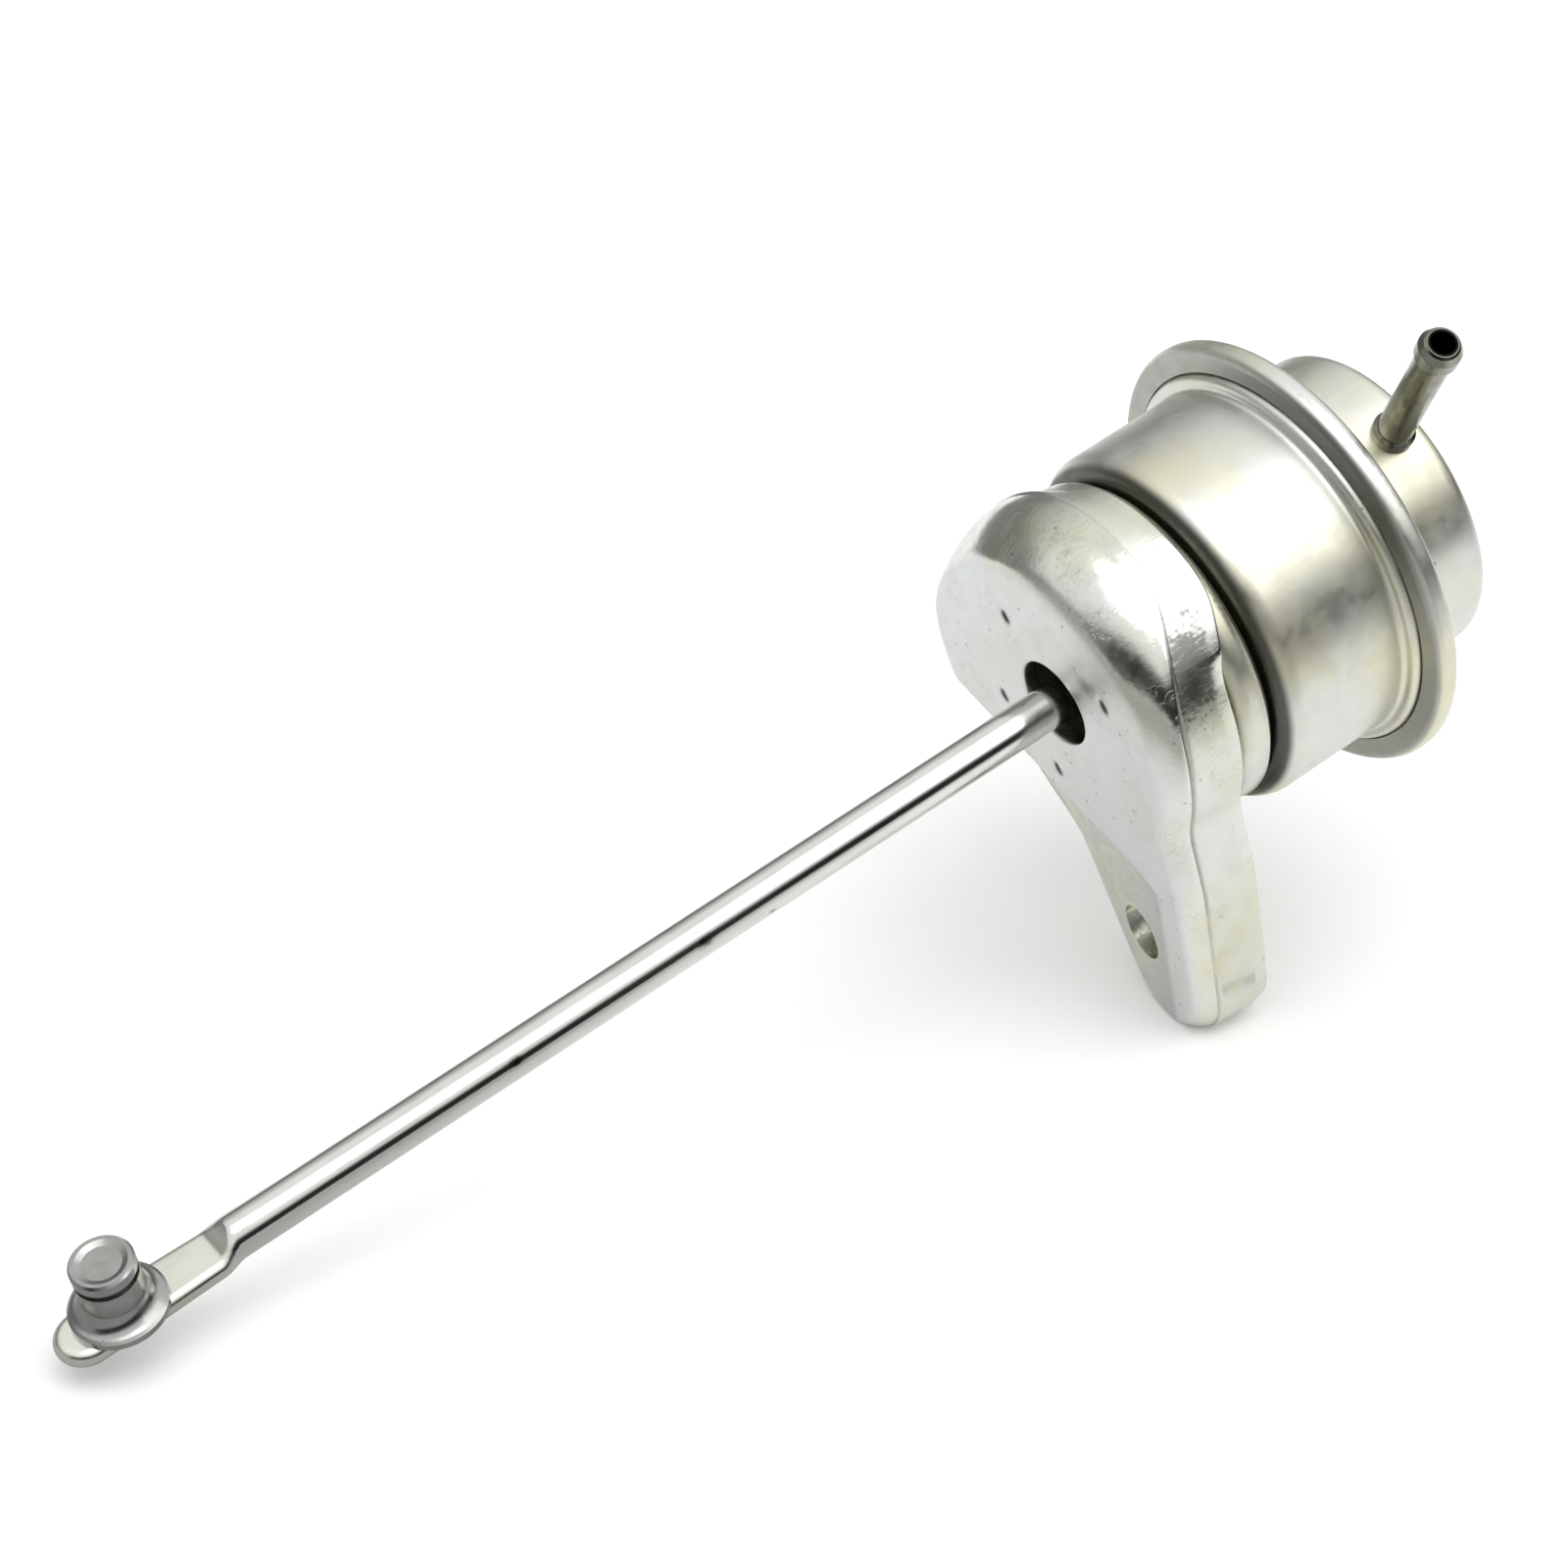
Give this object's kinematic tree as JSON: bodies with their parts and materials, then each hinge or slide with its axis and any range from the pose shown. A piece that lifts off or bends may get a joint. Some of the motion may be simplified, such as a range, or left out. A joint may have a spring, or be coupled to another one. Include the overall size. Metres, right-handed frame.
{
  "type": "turbo wastegate actuator",
  "caption": "pressure can on a stamped mounting bracket, with a sprung push rod that ends in a flattened blade and an upright pivot pin, and a radial hose nipple on the cover",
  "frame": {"origin": "middle of the bolt hole's wall in the bracket's ear, where the part is fixed", "axes": "+X along the push rod from its pivot pin towards the can, +Z the way the pivot pin stands, +Y to complete a right-handed frame"},
  "size_m": [0.2159, 0.0654, 0.0958],
  "materials": {
    "plated_steel": "bright zinc plate, slightly green-yellow, with scuffs and pits",
    "dark_nickel": "dark nickel plate, smooth",
    "polished_steel": "ground and polished, fine length-wise scratches",
    "grey_steel": "turned, satin grey",
    "inner_steel": "plain pressed steel",
    "rubber": "fabric-backed moulded rubber, matt",
    "spring_steel": "oiled spring wire",
    "moulded_ring": "moulded heat-proof plastic",
    "bush_bronze": "sintered bronze, oil-filled",
    "felt": "oiled felt"
  },
  "bodies": {
    "housing": {"bracket": "plated_steel", "spacer_cup": "plated_steel", "lower_can": "plated_steel", "cover_can": "plated_steel", "hose_nipple": "dark_nickel", "spring_seat": "moulded_ring", "rod_bush": "bush_bronze", "wiper_cap": "inner_steel", "wiper_felt": "felt", "diaphragm": "rubber", "spring": "spring_steel"},
    "plunger": {"rod": "polished_steel", "pivot_pin": "grey_steel", "piston_cup": "inner_steel", "retainer_dish": "inner_steel", "rod_washer": "inner_steel"}
  },
  "joints": [
    {"name": "rod_stroke", "type": "slide", "parent": "housing", "child": "plunger", "axis": [-1, 0, 0], "range_m": [0, 0.01], "stiffness_N_per_m": 5800, "springref_m": -0.0125, "deforming": ["spring", "diaphragm"]}
  ]
}
